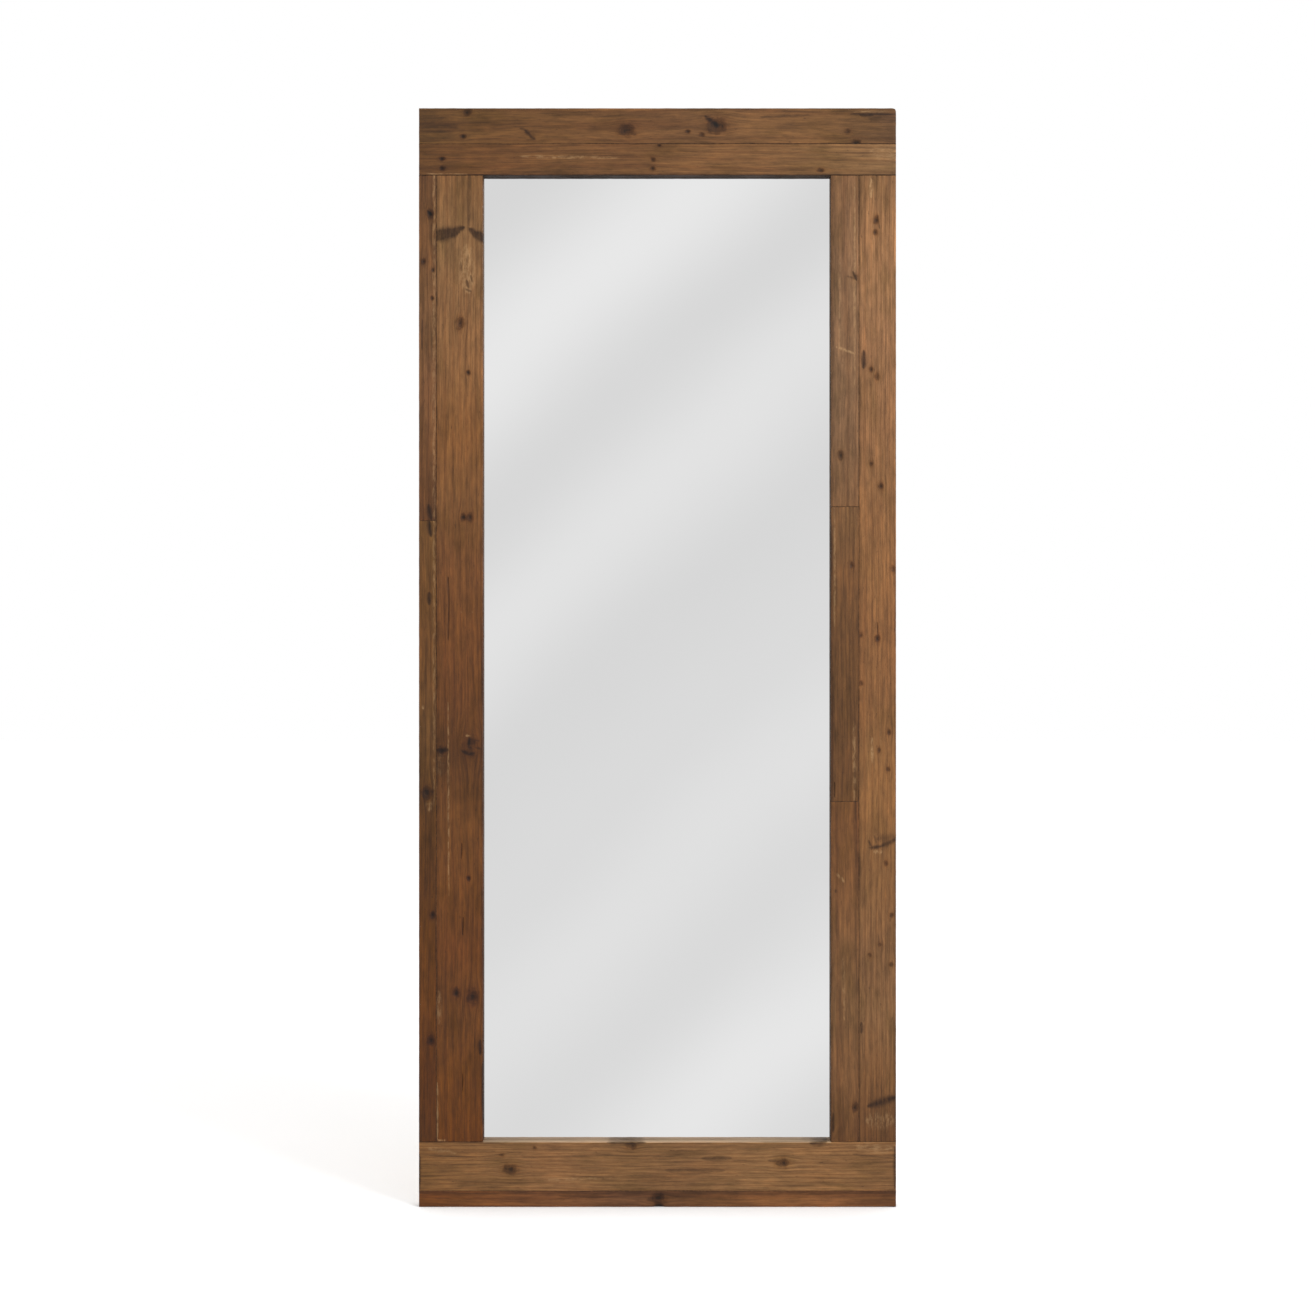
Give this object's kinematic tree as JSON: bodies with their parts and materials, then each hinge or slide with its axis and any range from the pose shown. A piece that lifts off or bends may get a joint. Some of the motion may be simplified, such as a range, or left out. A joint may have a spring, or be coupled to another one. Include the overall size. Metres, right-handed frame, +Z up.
{
  "type": "full-length floor mirror",
  "caption": "Full-length rectangular mirror in a wide frame of reclaimed pine boards, made to lean on a wall or hang on two swinging D-rings.",
  "frame": {"origin": "on the floor, at the middle of the mirror's width and overall depth", "axes": "+Z up the mirror, +Y out of its back towards the wall, so the glass faces -Y, +X to the right of someone who looks at the glass"},
  "size_m": [0.782, 0.0446, 1.8],
  "materials": {
    "brown_pine": "matte waxed old pine, brown, with knots, checks and worn edges",
    "red_pine": "matte waxed old pine, red-brown",
    "tan_pine": "matte waxed old pine, light tan",
    "batten_pine": "planed raw pine",
    "plywood": "raw plywood",
    "mirror": "silvered float glass",
    "foam": "closed-cell foam sheet",
    "zinc_plate": "bright zinc-plated steel",
    "zinc_screw": "yellow zinc-plated steel",
    "rubber": "matte moulded rubber"
  },
  "bodies": {
    "frame": {"top_rail_upper_board": "brown_pine", "top_rail_lower_board": "brown_pine", "bottom_rail_upper_board": "tan_pine", "bottom_rail_lower_board": "red_pine", "left_stile_outer_board_upper": "red_pine", "left_stile_outer_board_lower": "red_pine", "left_stile_inner_board": "red_pine", "right_stile_inner_board_top": "brown_pine", "right_stile_inner_board_middle": "brown_pine", "right_stile_inner_board_bottom": "brown_pine", "right_stile_outer_board": "tan_pine", "back_batten_left": "batten_pine", "back_batten_right": "batten_pine", "back_batten_top": "batten_pine", "back_batten_bottom": "batten_pine", "mirror_glass": "mirror", "foam_liner": "foam", "back_panel": "plywood", "hanger_strap_left": "zinc_plate", "hanger_strap_right": "zinc_plate", "batten_screw_01": "zinc_screw", "batten_screw_02": "zinc_screw", "batten_screw_03": "zinc_screw", "batten_screw_04": "zinc_screw", "batten_screw_05": "zinc_screw", "batten_screw_06": "zinc_screw", "batten_screw_07": "zinc_screw", "batten_screw_08": "zinc_screw", "batten_screw_09": "zinc_screw", "batten_screw_10": "zinc_screw", "batten_screw_11": "zinc_screw", "batten_screw_12": "zinc_screw", "batten_screw_13": "zinc_screw", "batten_screw_14": "zinc_screw", "batten_screw_15": "zinc_screw", "batten_screw_16": "zinc_screw", "panel_screw_01": "zinc_screw", "panel_screw_02": "zinc_screw", "panel_screw_03": "zinc_screw", "panel_screw_04": "zinc_screw", "panel_screw_05": "zinc_screw", "panel_screw_06": "zinc_screw", "panel_screw_07": "zinc_screw", "panel_screw_08": "zinc_screw", "panel_screw_09": "zinc_screw", "panel_screw_10": "zinc_screw", "hanger_screw_left_upper": "zinc_screw", "hanger_screw_left_lower": "zinc_screw", "hanger_screw_right_upper": "zinc_screw", "hanger_screw_right_lower": "zinc_screw", "wall_bumper_upper_left": "rubber", "wall_bumper_upper_right": "rubber", "wall_bumper_lower_left": "rubber", "wall_bumper_lower_right": "rubber"},
    "ring_left": {"hanger_ring_left": "zinc_plate"},
    "ring_right": {"hanger_ring_right": "zinc_plate"}
  },
  "joints": [
    {"name": "ring_left_swing", "type": "hinge", "parent": "frame", "child": "ring_left", "pos_m": [-0.3485, 0.0177, 1.44], "axis": [1, 0, 0], "range_deg": [0, 180]},
    {"name": "ring_right_swing", "type": "hinge", "parent": "frame", "child": "ring_right", "pos_m": [0.3475, 0.0177, 1.44], "axis": [1, 0, 0], "range_deg": [0, 180]}
  ]
}
